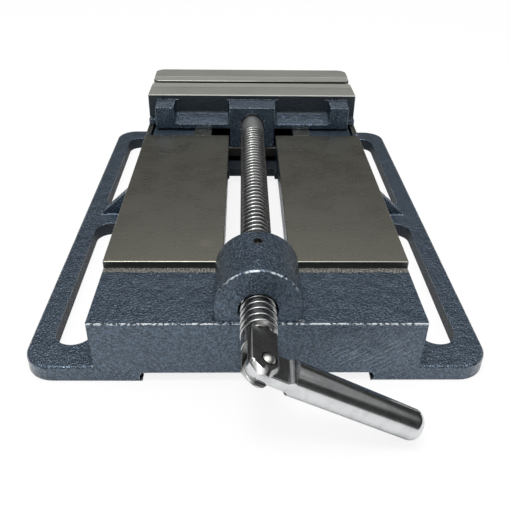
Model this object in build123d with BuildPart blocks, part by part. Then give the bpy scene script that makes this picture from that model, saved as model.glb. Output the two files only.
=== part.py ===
from build123d import *
from math import asin, cos, degrees, radians, sin
import os

# Drill press vise, millimetres. X runs along the vise from the handle to the fixed jaw, Y across it,
# Z up. The origin is on the bench face, in the middle of the four bench slots.

# Base outline
base_length = 283.5
jaw_width = 150.0
body_margin = 0.3
slot_strip = 4.2
slot_width = 18.0
rail_width = 10.8
slot_end_strip = 15.8
slot_bridge = 22.7
flange_thickness = 8.4
flange_corner_radius = 14.3
flange_edge_radius = 1.4

# Heights above the bench face
front_block_height = 33.1
way_height = 37.0
way_thickness = 14.0
jaw_rise = 20.6
rear_floor_drop = 1.2
foot_recess = 5.0
web_height = 11.4
screw_rise = 2.4

# Lengths along the base, front to back
front_block_length = 43.9
rear_floor_length = 57.7
fixed_jaw_depth = 29.0
fixed_jaw_overhang = 8.1
jaw_gap = 5.2

# Casting walls and radii
casting_wall = 8.0
cast_corner_radius = 3.0
block_edge_radius = 2.6
body_corner_radius = 1.8
rear_corner_radius = 7.0
boss_column_width = 48.0
foot_width = 21.9
foot_draft = 1.3
foot_corner_radius = 1.6
rear_web_lead = 4.9

# Central slot and the relieved floor behind the ways
slot_nut_clearance = 0.35
window_half_width = 29.0
bearing_rail_width = 12.3
bearing_rail_relief = 0.05
side_wall_width = 3.2
side_groove_width = 1.5
side_groove_depth = 9.0
side_notch_length = 4.0
side_wall_drop = 0.4

# Front boss
boss_setback = 2.0
boss_length = 33.0
boss_wall = 11.0
boss_centre_rise = 1.2
boss_edge_radius = 1.5
boss_foot_radius = 1.2

# Gusset on each side, over the bridge between the bench slots
gusset_centre = 3.0
gusset_thickness = 6.0
gusset_reach = 22.7
gusset_height = 29.0
gusset_foot_radius = 1.6
inner_rib_thickness = 5.0
inner_rib_clearance = 8.0
inner_rib_inset = 40.0

# Spindle, thread shown as its major diameter
spindle_radius = 8.0
fork_radius = 7.5
neck_relief = 0.4
thread_front = -15.0
thread_rear = 196.0
groove_depth = 2.2
fork_flat = 4.8
fork_slot = 5.2
fork_slot_depth = 8.2
fork_nose = 8.6
fork_nose_radius = 3.6
fork_nose_cone = 6.0
nose_chamfer = 1.0

# Handle and its pin
pin_setback = 31.9
pin_offset = 1.7
pin_tilt = 26.0
handle_swing = 88.0
handle_length = 72.0
handle_root_radius = 7.3
handle_tip_radius = 6.65
handle_end_radius = 4.4
tongue_length = 9.8
tongue_shoulder_radius = 2.4
handle_pin_radius = 2.8
handle_pin_dome = 1.4
pin_hole_chamfer = 0.45

# Screw nut pressed into the boss, with its lock pin
nut_wall = 5.0
nut_length = 23.0
nut_flange_thickness = 3.0
nut_flange_rim = 3.0
lock_pin_radius = 1.6
lock_pin_from_rear = 9.2
lock_pin_bite = 3.0
lock_pin_recess = 1.0

# Movable jaw casting
jaw_nose_length = 12.75
jaw_strip_depth = 27.9
rib_width = 13.2
rib_outer_inset = 6.0
rib_top_drop = 5.1
rib_slope_rise = 2.0
lip_height = 3.3
shelf_rise = 4.1
jaw_boss_half_width = 16.5
pocket_radius = 3.6
flank_lip_length = 4.6
flank_lip_height = 4.2
mouth_radius_margin = 0.7
mouth_depth = 2.5
journal_depth = 25.0
thrust_disc_thickness = 3.0
thrust_gap = 0.1

# Spindle retaining pins, driven up through the tongue
retaining_pin_radius = 2.5
retaining_pin_rise = 6.0
retaining_pin_from_nose = 11.3

# Jaw plates and their cap screws
plate_thickness = 10.0
plate_corner_radius = 3.0
plate_edge = 0.4
plate_screw_inset = 30.0
screw_radius = 3.0
screw_head_radius = 5.0
screw_head_height = 6.0
screw_edge = 0.5
screw_counterbore_margin = 0.5
screw_head_sink = 0.5
plate_screw_grip = 11.0
hex_across_flats = 5.0
hex_depth = 3.0

# Keeper plate under the ways
keeper_thickness = 7.0
keeper_length = 34.0
keeper_half_width = 34.0
keeper_corner_radius = 2.0
keeper_screw_front = 9.5
keeper_screw_rear = 26.0
keeper_screw_cover = 1.7
keeper_counterbore_depth = 4.6
washer_thickness = 1.2
washer_radius = 5.9

# Clearances
way_clearance = 0.05
keeper_clearance = 0.3
tongue_clearance = 0.3
running_clearance = 0.05
pin_clearance = 0.02
thread_clearance = 0.05
tongue_side_clearance = 0.15
washer_clearance = 0.3

# Places worked out from the sizes above
front_x = -base_length / 2
body_width = jaw_width + 2 * body_margin
slot_offset = body_width / 2 + slot_strip + slot_width / 2
base_width = 2 * (slot_offset + slot_width / 2 + rail_width)
slot_length = (base_length - 2 * slot_end_strip - slot_bridge) / 2
slot_pitch = slot_length + slot_bridge
back_x = base_length / 2 + fixed_jaw_overhang
clamp_x = back_x - fixed_jaw_depth
seat_x = clamp_x + plate_thickness
way_front_x = front_x + front_block_length
way_rear_x = clamp_x - rear_floor_length
slot_rear_x = clamp_x - keeper_clearance - jaw_gap
jaw_top = way_height + jaw_rise
way_underside = way_height - way_thickness
rear_floor = way_height - rear_floor_drop
screw_height = way_height + screw_rise
wall_inside = body_width / 2 - casting_wall
foot_inset = body_width / 2 - foot_width
platform_half_width = body_width / 2 - side_wall_width - side_groove_width
nut_bore_radius = spindle_radius + running_clearance
nut_radius = nut_bore_radius + nut_wall
slot_half_width = nut_radius + nut_flange_rim + slot_nut_clearance
web_front_x = way_rear_x - rear_web_lead

boss_front_x = front_x + boss_setback
boss_rear_x = boss_front_x + boss_length
mouth_radius = spindle_radius + mouth_radius_margin
boss_radius = mouth_radius + boss_wall
boss_centre = screw_height + boss_centre_rise

jaw_clamp_x = clamp_x - jaw_gap
jaw_back_x = jaw_clamp_x - plate_thickness
strip_x = jaw_clamp_x - jaw_strip_depth
nose_x = strip_x - jaw_nose_length
jaw_floor = way_height + way_clearance
tongue_bottom = way_underside - keeper_clearance
tongue_half_width = slot_half_width - tongue_clearance
keeper_bottom = tongue_bottom - keeper_thickness

pin_x = front_x - pin_setback
journal_radius = spindle_radius - neck_relief
groove_radius = journal_radius - groove_depth
bore_radius = journal_radius + running_clearance
retaining_pin_x = nose_x + retaining_pin_from_nose
retaining_pin_y = groove_radius + running_clearance + retaining_pin_radius
journal_end_x = nose_x + journal_depth - thrust_disc_thickness - 2 * thrust_gap

pin_axis = Vector(0, -sin(radians(pin_tilt)), cos(radians(pin_tilt)))
side_axis = Vector(0, -cos(radians(pin_tilt)), -sin(radians(pin_tilt)))
swing = radians(handle_swing)
handle_axis = Vector(-1, 0, 0) * cos(swing) + side_axis * sin(swing)
pivot = Vector(pin_x, 0, screw_height) + side_axis * pin_offset

bearing_rail_centre = window_half_width + bearing_rail_width / 2
keeper_screw_places = [nose_x + keeper_screw_front, nose_x + keeper_screw_rear]
keeper_screw_grip = screw_height - spindle_radius - keeper_screw_cover - tongue_bottom
plate_screw_height = way_height + jaw_rise / 2
plate_screw_offset = jaw_width / 2 - plate_screw_inset
SIDES = (-1, 1)

os.makedirs("parts", exist_ok=True)


# Base casting: flange, body, ways, fixed jaw and front boss in one piece
with BuildPart() as base_casting:
    with BuildSketch():
        RectangleRounded(base_length, base_width, flange_corner_radius)
    extrude(amount=flange_thickness)
    top_rim = base_casting.faces().sort_by(Axis.Z)[-1].outer_wire().edges()
    fillet(top_rim, flange_edge_radius)

    # Bench slots
    with BuildSketch():
        with GridLocations(slot_pitch, 2 * slot_offset, 2, 2):
            SlotOverall(slot_length, slot_width)
    extrude(amount=flange_thickness, mode=Mode.SUBTRACT)

    # Gussets over the bridges between the slots
    for side in SIDES:
        with BuildSketch(Plane.YZ.offset(gusset_centre - gusset_thickness / 2)):
            with BuildLine():
                Polyline(
                    (side * (body_width / 2 - 1), flange_thickness - 1),
                    (side * (body_width / 2 + gusset_reach), flange_thickness - 1),
                    (side * (body_width / 2 + gusset_reach), flange_thickness),
                    (side * body_width / 2, gusset_height),
                    (side * (body_width / 2 - 1), gusset_height),
                    close=True,
                )
            make_face()
        extrude(amount=gusset_thickness)

    # Body, with its side view drawn once: front block, ways, rear floor, plate ledge and fixed jaw
    with BuildSketch(Plane.XZ) as side_view:
        with BuildLine():
            Polyline(
                (front_x, 0),
                (front_x, front_block_height),
                (way_front_x, front_block_height),
                (way_front_x, way_height),
                (way_rear_x, way_height),
                (way_rear_x, rear_floor),
                (clamp_x, rear_floor),
                (clamp_x, way_height),
                (seat_x, way_height),
                (seat_x, jaw_top),
                (back_x, jaw_top),
                (back_x, 0),
                close=True,
            )
        make_face()
        front_top = side_view.vertices().sort_by_distance((front_x, 0, front_block_height))[0]
        fillet(front_top, block_edge_radius)
    extrude(amount=body_width / 2, both=True)
    corners = base_casting.edges().filter_by(Axis.Z)
    front_corners = corners.filter_by(lambda e: abs(e.center().X - front_x) < 0.01)
    back_corners = corners.filter_by(lambda e: abs(e.center().X - back_x) < 0.01)
    fillet(back_corners, rear_corner_radius)
    front_corners = front_corners.filter_by(lambda e: abs(abs(e.center().Y) - body_width / 2) < 0.01)
    fillet(front_corners, body_corner_radius)

    # Front boss over the spindle
    with BuildSketch(Plane.YZ.offset(boss_front_x)):
        with Locations((0, boss_centre)):
            Circle(boss_radius)
        with Locations((0, front_block_height - 1)):
            Rectangle(
                2 * boss_radius,
                boss_centre - front_block_height + 1,
                align=(Align.CENTER, Align.MIN),
            )
    extrude(amount=boss_length)

    # Cast fillets round the boss and the gussets
    boss_foot = base_casting.edges().filter_by(Axis.X).filter_by(
        lambda e: abs(abs(e.center().Y) - boss_radius) < 0.01 and abs(e.center().Z - front_block_height) < 0.01
    )
    fillet(boss_foot, boss_foot_radius)
    gusset_front = gusset_centre - gusset_thickness / 2
    gusset_foot = base_casting.edges().filter_by(Axis.Y).filter_by(
        lambda e: abs(e.center().X - gusset_front) < 0.01 and abs(e.center().Z - flange_thickness) < 0.01
    )
    fillet(gusset_foot, gusset_foot_radius)

    # Central slot between the ways, and the wider window behind them
    with BuildSketch():
        with Locations((boss_rear_x, 0)):
            Rectangle(
                way_rear_x - boss_rear_x,
                2 * slot_half_width,
                align=(Align.MIN, Align.CENTER),
            )
    extrude(amount=jaw_top, mode=Mode.SUBTRACT)
    with BuildSketch(Plane.XY.offset(web_height)):
        with Locations((way_rear_x, 0)):
            Rectangle(
                slot_rear_x - way_rear_x,
                2 * window_half_width,
                align=(Align.MIN, Align.CENTER),
            )
    extrude(amount=way_height, mode=Mode.SUBTRACT)

    # Notch and groove that part the rear platform from the outer walls
    for side in SIDES:
        with BuildSketch(Plane.XY.offset(rear_floor - side_groove_depth)):
            with Locations((way_rear_x, side * platform_half_width)):
                Rectangle(
                    clamp_x - way_rear_x,
                    side_groove_width,
                    align=(Align.MIN, Align.MIN if side > 0 else Align.MAX),
                )
                Rectangle(
                    side_notch_length,
                    body_width,
                    align=(Align.MIN, Align.MIN if side > 0 else Align.MAX),
                )
        extrude(amount=side_groove_depth + rear_floor_drop, mode=Mode.SUBTRACT)

    # Outer walls beside the platform, rounded at their front ends, and the ground bearing rails
    for side in SIDES:
        with BuildSketch(Plane.XY.offset(rear_floor - 1)) as wall_plan:
            with Locations((way_rear_x + side_notch_length, side * (body_width / 2 - side_wall_width / 2))):
                Rectangle(
                    clamp_x - way_rear_x - side_notch_length,
                    side_wall_width,
                    align=(Align.MIN, Align.CENTER),
                )
            fillet(wall_plan.vertices().group_by(Axis.X)[0], side_wall_width * 0.45)
        extrude(amount=1 + rear_floor_drop - side_wall_drop)
        with BuildSketch(Plane.XY.offset(rear_floor - 1)):
            with Locations((way_rear_x - 1, side * bearing_rail_centre)):
                Rectangle(
                    clamp_x - way_rear_x + 1,
                    bearing_rail_width,
                    align=(Align.MIN, Align.CENTER),
                )
        extrude(amount=1 + rear_floor_drop - bearing_rail_relief)

    # Hollow under the ways, open at the bench face
    with BuildSketch():
        with Locations((way_front_x, 0)):
            Rectangle(
                web_front_x - way_front_x,
                2 * wall_inside,
                align=(Align.MIN, Align.CENTER),
            )
    extrude(amount=way_underside, mode=Mode.SUBTRACT)

    # Hollow over the rear web, where the keeper plate runs home
    with BuildSketch(Plane.XY.offset(web_height)):
        with Locations((web_front_x, 0)):
            Rectangle(
                slot_rear_x - web_front_x,
                2 * wall_inside,
                align=(Align.MIN, Align.CENTER),
            )
    extrude(amount=way_underside - web_height, mode=Mode.SUBTRACT)

    # Cored pockets in the front block and under the fixed jaw, open at the bench face
    pocket_width = wall_inside - boss_column_width / 2
    front_pocket_length = front_block_length - 2 * casting_wall
    rear_pocket_length = back_x - slot_rear_x - 2 * casting_wall
    with BuildSketch() as core_plan:
        for side in SIDES:
            centre_y = side * (wall_inside - pocket_width / 2)
            with Locations((front_x + front_block_length / 2, centre_y)):
                RectangleRounded(front_pocket_length, pocket_width, cast_corner_radius)
            with Locations((slot_rear_x + casting_wall + rear_pocket_length / 2, centre_y)):
                RectangleRounded(rear_pocket_length, pocket_width, cast_corner_radius)
    extrude(amount=front_block_height - casting_wall, mode=Mode.SUBTRACT)

    # Stiffening ribs under the ways, in line with the gussets
    for side in SIDES:
        with BuildSketch(Plane.XY.offset(inner_rib_clearance)):
            with Locations((gusset_centre, side * inner_rib_inset)):
                Rectangle(
                    inner_rib_thickness,
                    wall_inside - inner_rib_inset + 1,
                    align=(Align.CENTER, Align.MIN if side > 0 else Align.MAX),
                )
        extrude(amount=way_underside - inner_rib_clearance + 1)

    # Recess between the feet, at the front and at the rear
    with BuildSketch(Plane.YZ.offset(front_x)) as recess_profile:
        with BuildLine():
            Polyline(
                (-foot_inset - foot_draft, 0),
                (-foot_inset, foot_recess),
                (foot_inset, foot_recess),
                (foot_inset + foot_draft, 0),
                close=True,
            )
        make_face()
        fillet(recess_profile.vertices().group_by(Axis.Z)[-1], foot_corner_radius)
    extrude(amount=back_x - front_x, mode=Mode.SUBTRACT)

    # Spindle bore through the boss, stepped for the nut, and the lock pin's hole
    with Locations(Plane(origin=(boss_front_x, 0, screw_height), z_dir=(-1, 0, 0))):
        Hole(mouth_radius, depth=boss_length)
    with Locations(Plane(origin=(boss_rear_x, 0, screw_height), z_dir=(1, 0, 0))):
        Hole(nut_radius, depth=nut_length)
    with Locations(Plane(origin=(boss_rear_x - lock_pin_from_rear, 0, boss_centre + boss_radius))):
        Hole(lock_pin_radius + thread_clearance, depth=boss_radius + boss_centre_rise - nut_radius + 1)

    # Tapped holes for the fixed jaw plate
    with Locations(*[
        Plane(origin=(seat_x, side * plate_screw_offset, plate_screw_height), z_dir=(-1, 0, 0))
        for side in SIDES
    ]):
        Hole(screw_radius + thread_clearance, depth=plate_screw_grip + 1)

    # Rounded edges of the boss arch
    boss_rims = base_casting.edges().filter_by(GeomType.CIRCLE).filter_by(
        lambda e: abs(e.radius - boss_radius) < 0.01 and e.center().Z > boss_centre
    )
    fillet(boss_rims, boss_edge_radius)
base_casting.part.label = "base_casting"
export_step(base_casting.part, "parts/base_casting.step")


def cap_screws(places, grip):
    """Like cap screws, one solid for each plane, which stands on the screw's head and points out."""
    tip = -screw_head_height - grip
    solids = []
    for place in places:
        with BuildPart() as screw:
            with BuildSketch(Plane.XZ):
                with BuildLine():
                    Polyline(
                        (0, 0),
                        (screw_head_radius - screw_edge, 0),
                        (screw_head_radius, -screw_edge),
                        (screw_head_radius, -screw_head_height),
                        (screw_radius, -screw_head_height),
                        (screw_radius, tip + screw_edge),
                        (screw_radius - screw_edge, tip),
                        (0, tip),
                        close=True,
                    )
                make_face()
            revolve(axis=Axis.Z)
            with BuildSketch():
                RegularPolygon(hex_across_flats / 2, 6, major_radius=False)
            extrude(amount=-hex_depth, mode=Mode.SUBTRACT)
        solids.append(place.location * screw.part.solid())
    return Compound(children=solids)


def jaw_plate(front, bottom, faces_back):
    """A ground jaw plate, counterbored on its clamping side for two cap screws."""
    clamping = front + plate_thickness if faces_back else front
    outward = 1 if faces_back else -1
    with BuildPart() as plate:
        with BuildSketch(Plane.XY.offset(bottom)) as plan:
            with Locations((front, 0)):
                Rectangle(plate_thickness, jaw_width, align=(Align.MIN, Align.CENTER))
            fillet(plan.vertices().filter_by(lambda v: abs(v.X - clamping) < 0.01), plate_corner_radius)
        extrude(amount=jaw_top - bottom)
        rims = plate.faces().sort_by(Axis.Z)[-1].outer_wire().edges()
        chamfer(rims.filter_by(lambda e: abs(e.center().X - clamping) < 0.01), plate_edge)
        with Locations(*[
            Plane(origin=(clamping, side * plate_screw_offset, plate_screw_height), z_dir=(outward, 0, 0))
            for side in SIDES
        ]):
            CounterBoreHole(
                screw_radius + screw_counterbore_margin,
                screw_head_radius + screw_counterbore_margin,
                screw_head_height + screw_head_sink,
            )
    return plate.part


def plate_screws(clamping, outward):
    """The two cap screws of one jaw plate, sunk below its clamping face."""
    head_x = clamping - outward * screw_head_sink
    return cap_screws(
        [
            Plane(origin=(head_x, side * plate_screw_offset, plate_screw_height), z_dir=(outward, 0, 0))
            for side in SIDES
        ],
        plate_thickness - screw_head_height - screw_head_sink + plate_screw_grip,
    )


fixed_jaw_plate = jaw_plate(clamp_x, way_height, False)
fixed_jaw_plate.label = "fixed_jaw_plate"
export_step(fixed_jaw_plate, "parts/fixed_jaw_plate.step")

fixed_jaw_screws = plate_screws(clamp_x, -1)
fixed_jaw_screws.label = "fixed_jaw_screws"
export_step(fixed_jaw_screws, "parts/fixed_jaw_screws.step")

# Nut: a flanged bush pushed into the boss from behind
with BuildPart() as screw_nut:
    with BuildSketch(Plane.YZ.offset(boss_rear_x - nut_length)):
        with Locations((0, screw_height)):
            Circle(nut_radius - pin_clearance)
    extrude(amount=nut_length)
    with BuildSketch(Plane.YZ.offset(boss_rear_x)):
        with Locations((0, screw_height)):
            Circle(nut_radius + nut_flange_rim)
    extrude(amount=nut_flange_thickness)
    chamfer(screw_nut.faces().sort_by(Axis.X)[-1].outer_wire().edges(), 0.6)
    with Locations(Plane(origin=(boss_rear_x, 0, screw_height), z_dir=(1, 0, 0))):
        Hole(nut_bore_radius)
    with Locations(Plane(origin=(boss_rear_x - lock_pin_from_rear, 0, screw_height + nut_radius))):
        Hole(lock_pin_radius + thread_clearance, depth=lock_pin_bite + 0.2)
screw_nut.part.label = "screw_nut"
export_step(screw_nut.part, "parts/screw_nut.step")

# Lock pin, seen as a bright dome at the bottom of its hole
lock_pin_top = boss_centre + boss_radius - lock_pin_recess
lock_pin_bottom = screw_height + nut_radius - lock_pin_bite
with BuildPart() as nut_lock_pin:
    with BuildSketch(Plane.XY.offset(lock_pin_bottom)):
        with Locations((boss_rear_x - lock_pin_from_rear, 0)):
            Circle(lock_pin_radius)
    extrude(amount=lock_pin_top - lock_pin_bottom)
    fillet(nut_lock_pin.faces().sort_by(Axis.Z)[-1].edges(), lock_pin_radius * 0.8)
nut_lock_pin.part.label = "nut_lock_pin"
export_step(nut_lock_pin.part, "parts/nut_lock_pin.step")

# Movable jaw casting: upright, nose with ribs, boss and pockets, and the tongue in the slot
rib_top = jaw_top - rib_top_drop
shelf_front = jaw_floor + lip_height
shelf_back = shelf_front + shelf_rise
nose_half_width = jaw_width / 2 - rib_outer_inset
with BuildPart() as movable_jaw:
    with BuildSketch(Plane.XY.offset(jaw_floor)) as upright_plan:
        with Locations((strip_x, 0)):
            Rectangle(jaw_back_x - strip_x, jaw_width, align=(Align.MIN, Align.CENTER))
    extrude(amount=jaw_top - jaw_floor)
    with BuildSketch(Plane.XZ):
        with BuildLine():
            Polyline(
                (nose_x, jaw_floor),
                (nose_x, rib_top),
                (strip_x, rib_top + rib_slope_rise),
                (strip_x, jaw_floor),
                close=True,
            )
        make_face()
    extrude(amount=nose_half_width, both=True)
    with BuildSketch(Plane.XY.offset(jaw_floor)):
        with Locations((strip_x - flank_lip_length, 0)):
            Rectangle(flank_lip_length, jaw_width, align=(Align.MIN, Align.CENTER))
    extrude(amount=flank_lip_height)

    # Pockets between the ribs and the spindle boss, with sloping floors
    pocket_half_width = (nose_half_width - rib_width - jaw_boss_half_width) / 2
    pocket_centre = jaw_boss_half_width + pocket_half_width
    for side in SIDES:
        with BuildSketch(Plane.XZ.offset(-side * pocket_centre)):
            with BuildLine():
                Polyline(
                    (nose_x - 1, shelf_front - shelf_rise / jaw_nose_length),
                    (strip_x, shelf_back),
                    (strip_x, jaw_top),
                    (nose_x - 1, jaw_top),
                    close=True,
                )
            make_face()
        extrude(amount=pocket_half_width, both=True, mode=Mode.SUBTRACT)
    pocket_corners = movable_jaw.edges().filter_by(Axis.Z).filter_by(
        lambda e: abs(e.center().X - strip_x) < 0.01
        and min(
            abs(abs(e.center().Y) - jaw_boss_half_width),
            abs(abs(e.center().Y) - jaw_boss_half_width - 2 * pocket_half_width),
        ) < 0.01
    )
    fillet(pocket_corners, pocket_radius)
    shelf_edges = movable_jaw.faces().filter_by(
        lambda f: 0.5 < f.normal_at().Z < 0.999 and abs(f.center().Z - (shelf_front + shelf_back) / 2) < 1
    ).edges().filter_by(lambda e: abs(e.center().X - nose_x) > 0.01)
    fillet(shelf_edges, pocket_radius * 0.6)

    # Tongue between the ways
    with BuildSketch(Plane.XY.offset(tongue_bottom)):
        with Locations((nose_x, 0)):
            Rectangle(jaw_back_x - nose_x, 2 * tongue_half_width, align=(Align.MIN, Align.CENTER))
    extrude(amount=jaw_floor - tongue_bottom)

    # Journal bore for the spindle, with its open mouth
    with Locations(Plane(origin=(nose_x, 0, screw_height), z_dir=(-1, 0, 0))):
        CounterBoreHole(bore_radius, mouth_radius, mouth_depth, depth=journal_depth)

    # Holes for the retaining pins, the keeper screws and the plate screws
    with Locations(*[
        Plane(origin=(retaining_pin_x, side * retaining_pin_y, tongue_bottom), z_dir=(0, 0, -1))
        for side in SIDES
    ]):
        Hole(
            retaining_pin_radius + pin_clearance,
            depth=screw_height + retaining_pin_rise - tongue_bottom + 0.2,
        )
    with Locations(*[
        Plane(origin=(x, 0, tongue_bottom), z_dir=(0, 0, -1)) for x in keeper_screw_places
    ]):
        Hole(screw_radius + thread_clearance, depth=keeper_screw_grip + 0.5)
    with Locations(*[
        Plane(origin=(jaw_back_x, side * plate_screw_offset, plate_screw_height), z_dir=(1, 0, 0))
        for side in SIDES
    ]):
        Hole(screw_radius + thread_clearance, depth=plate_screw_grip + 1)
movable_jaw.part.label = "movable_jaw"
export_step(movable_jaw.part, "parts/movable_jaw.step")

movable_jaw_plate = jaw_plate(jaw_back_x, jaw_floor, True)
movable_jaw_plate.label = "movable_jaw_plate"
export_step(movable_jaw_plate, "parts/movable_jaw_plate.step")

movable_jaw_screws = plate_screws(jaw_clamp_x, 1)
movable_jaw_screws.label = "movable_jaw_screws"
export_step(movable_jaw_screws, "parts/movable_jaw_screws.step")

# Keeper plate, held up against the tongue, reaching under both ways
with BuildPart() as keeper_plate:
    with BuildSketch(Plane.XY.offset(keeper_bottom)):
        with Locations((nose_x + keeper_length / 2, 0)):
            RectangleRounded(keeper_length, 2 * keeper_half_width, keeper_corner_radius)
    extrude(amount=keeper_thickness)
    chamfer(keeper_plate.faces().sort_by(Axis.Z)[-1].outer_wire().edges(), 0.5)
    with Locations(*[
        Plane(origin=(x, 0, keeper_bottom), z_dir=(0, 0, -1)) for x in keeper_screw_places
    ]):
        CounterBoreHole(
            screw_radius + screw_counterbore_margin,
            washer_radius + washer_clearance,
            keeper_counterbore_depth,
        )
keeper_plate.part.label = "keeper_plate"
export_step(keeper_plate.part, "parts/keeper_plate.step")

# Washers and cap screws of the keeper plate
washer_seat = keeper_bottom + keeper_counterbore_depth
with BuildPart() as keeper_washers:
    with BuildSketch(Plane.XY.offset(washer_seat - washer_thickness)):
        with Locations(*[(x, 0) for x in keeper_screw_places]):
            Circle(washer_radius)
            Circle(screw_radius + 0.2, mode=Mode.SUBTRACT)
    extrude(amount=washer_thickness)
keeper_washers.part.label = "keeper_washers"
export_step(keeper_washers.part, "parts/keeper_washers.step")

keeper_head_bottom = washer_seat - washer_thickness - screw_head_height
keeper_screws = cap_screws(
    [Plane(origin=(x, 0, keeper_head_bottom), z_dir=(0, 0, -1)) for x in keeper_screw_places],
    washer_thickness + keeper_thickness - keeper_counterbore_depth + keeper_screw_grip,
)
keeper_screws.label = "keeper_screws"
export_step(keeper_screws, "parts/keeper_screws.step")

# Retaining pins either side of the spindle's groove
with BuildPart() as spindle_pins:
    with BuildSketch(Plane.XY.offset(tongue_bottom)):
        with Locations(*[(retaining_pin_x, side * retaining_pin_y) for side in SIDES]):
            Circle(retaining_pin_radius)
    extrude(amount=screw_height + retaining_pin_rise - tongue_bottom)
    chamfer(spindle_pins.faces().group_by(Axis.Z)[-1].edges(), 0.4)
spindle_pins.part.label = "spindle_pins"
export_step(spindle_pins.part, "parts/spindle_pins.step")

# Hardened disc that takes the spindle's thrust
with BuildPart() as thrust_disc:
    with BuildSketch(Plane.YZ.offset(journal_end_x + thrust_gap)):
        with Locations((0, screw_height)):
            Circle(bore_radius - running_clearance)
    extrude(amount=thrust_disc_thickness)
    chamfer(thrust_disc.edges(), 0.4)
thrust_disc.part.label = "thrust_disc"
export_step(thrust_disc.part, "parts/thrust_disc.step")

# Spindle: threaded shank, neck with retaining groove, and the fork for the handle
thread_front_x = front_x + thread_front
thread_rear_x = front_x + thread_rear
fork_end_x = pin_x - fork_nose
nose_cone_x = fork_end_x + fork_nose_cone
groove_front_x = retaining_pin_x - retaining_pin_radius - running_clearance
groove_rear_x = retaining_pin_x + retaining_pin_radius + running_clearance
fork_plane = Plane(origin=(pin_x, 0, screw_height), x_dir=(1, 0, 0), z_dir=pin_axis)
with BuildPart() as spindle:
    with BuildSketch(Plane.XZ):
        with BuildLine():
            Polyline(
                (fork_end_x, screw_height),
                (fork_end_x, screw_height + fork_nose_radius),
                (nose_cone_x, screw_height + fork_radius),
                (thread_front_x, screw_height + fork_radius),
                (thread_front_x, screw_height + spindle_radius),
                (thread_rear_x, screw_height + spindle_radius),
                (thread_rear_x + neck_relief, screw_height + journal_radius),
                (groove_front_x, screw_height + journal_radius),
                (groove_front_x, screw_height + groove_radius),
                (groove_rear_x, screw_height + groove_radius),
                (groove_rear_x, screw_height + journal_radius),
                (journal_end_x - nose_chamfer, screw_height + journal_radius),
                (journal_end_x, screw_height + journal_radius - nose_chamfer),
                (journal_end_x, screw_height),
                close=True,
            )
        make_face()
    revolve(axis=Axis((0, 0, screw_height), (1, 0, 0)))

    # Flats above and below, then the slot for the handle's tongue
    flat_length = thread_front_x - fork_end_x
    for side in SIDES:
        with BuildSketch(fork_plane.offset(side * fork_flat)):
            with Locations((thread_front_x - pin_x, 0)):
                Rectangle(flat_length + 1, 2 * spindle_radius + 2, align=(Align.MAX, Align.CENTER))
        extrude(amount=side * spindle_radius, mode=Mode.SUBTRACT)
    with BuildSketch(fork_plane):
        with Locations((fork_slot_depth, 0)):
            Rectangle(
                fork_slot_depth + fork_nose + 1,
                2 * spindle_radius + 2,
                align=(Align.MAX, Align.CENTER),
            )
    extrude(amount=fork_slot / 2, both=True, mode=Mode.SUBTRACT)

    # Hole for the handle's pin, eased on both flats
    with Locations(Plane(origin=pivot + pin_axis * fork_flat, z_dir=pin_axis)):
        CounterSinkHole(
            handle_pin_radius + pin_clearance,
            handle_pin_radius + pin_hole_chamfer,
            depth=2 * fork_flat,
            counter_sink_angle=90,
        )
    with Locations(Plane(origin=pivot - pin_axis * fork_flat, z_dir=-pin_axis)):
        CounterSinkHole(
            handle_pin_radius + pin_clearance,
            handle_pin_radius + pin_hole_chamfer,
            depth=2 * fork_flat,
            counter_sink_angle=90,
        )
spindle.part.label = "spindle"
export_step(spindle.part, "parts/spindle.step")

# Handle pin, domed at both ends
pin_half_length = fork_flat + handle_pin_dome
dome_radius = (handle_pin_radius**2 + handle_pin_dome**2) / (2 * handle_pin_dome)
dome_angle = degrees(asin(handle_pin_radius / dome_radius))
pin_section = Plane(origin=pivot, x_dir=(1, 0, 0), z_dir=side_axis)
with BuildPart() as handle_pin:
    with BuildSketch(pin_section):
        with BuildLine():
            upper_dome = CenterArc(
                (0, pin_half_length - dome_radius), dome_radius, 90 - dome_angle, dome_angle
            )
            lower_dome = CenterArc((0, dome_radius - pin_half_length), dome_radius, -90, dome_angle)
            Line(lower_dome @ 1, upper_dome @ 0)
            Line(upper_dome @ 1, lower_dome @ 0)
        make_face()
    revolve(axis=Axis(pivot, pin_axis))
handle_pin.part.label = "handle_pin"
export_step(handle_pin.part, "parts/handle_pin.step")

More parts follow.
